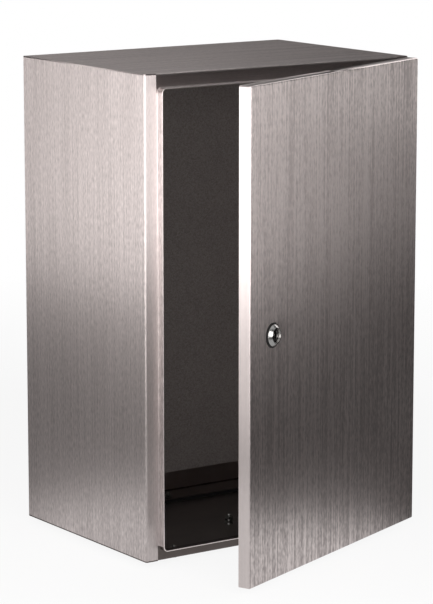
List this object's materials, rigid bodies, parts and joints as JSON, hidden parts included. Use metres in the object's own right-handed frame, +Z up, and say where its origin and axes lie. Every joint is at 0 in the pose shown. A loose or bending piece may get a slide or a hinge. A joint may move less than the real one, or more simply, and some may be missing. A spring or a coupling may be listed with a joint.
{
  "type": "wall enclosure",
  "caption": "Upright wall enclosure of folded brushed stainless sheet, with a door on hidden hinges, a quarter-turn lock, a mounting plate and a gland plate.",
  "frame": {"origin": "centre of the wall-hole rectangle, on the back face", "axes": "+Z up, +Y into the wall, +X to the right of someone facing the door"},
  "size_m": [0.4022, 0.4488, 0.6082],
  "materials": {
    "brushed_stainless": "satin brushed",
    "bare_stainless": "mill finish",
    "galvanised": "fine speckled zinc coat, dull",
    "zinc_plated": "zinc plated",
    "black_foam": "matt foam",
    "bright_chrome": "polished",
    "dark_core": "satin"
  },
  "bodies": {
    "body": {"side_wrap": "brushed_stainless", "top_panel": "brushed_stainless", "bottom_panel": "brushed_stainless", "gland_plate_seal": "black_foam", "gland_plate": "bare_stainless", "gland_plate_screws": "zinc_plated", "gland_plate_nuts": "zinc_plated", "gland_earth_stud": "zinc_plated", "gland_earth_washers": "zinc_plated", "gland_earth_nuts": "zinc_plated", "mounting_plate": "galvanised", "plate_studs": "zinc_plated", "plate_spacers": "zinc_plated", "plate_washers": "zinc_plated", "plate_nuts": "zinc_plated", "hinge_body_leaves": "bare_stainless", "hinge_pins": "bare_stainless"},
    "door": {"door_panel": "brushed_stainless", "door_seal": "black_foam", "hinge_door_leaves": "bare_stainless", "door_earth_stud": "zinc_plated", "door_earth_washers": "zinc_plated", "door_earth_nuts": "zinc_plated", "lock_housing": "bright_chrome", "lock_seal": "black_foam", "lock_nut": "zinc_plated"},
    "lock_core": {"lock_core": "dark_core", "lock_cam": "zinc_plated", "cam_screw": "zinc_plated"}
  },
  "joints": [
    {"name": "door_hinge", "type": "hinge", "parent": "body", "child": "door", "pos_m": [0.1935, -0.289, 0], "axis": [0, 0, 1], "range_deg": [-22.5, 92.5]},
    {"name": "lock_turn", "type": "hinge", "parent": "door", "child": "lock_core", "pos_m": [-0.11964, -0.43061, 0], "axis": [-0.3827, 0.9239, 0], "range_deg": [0, 90]}
  ]
}
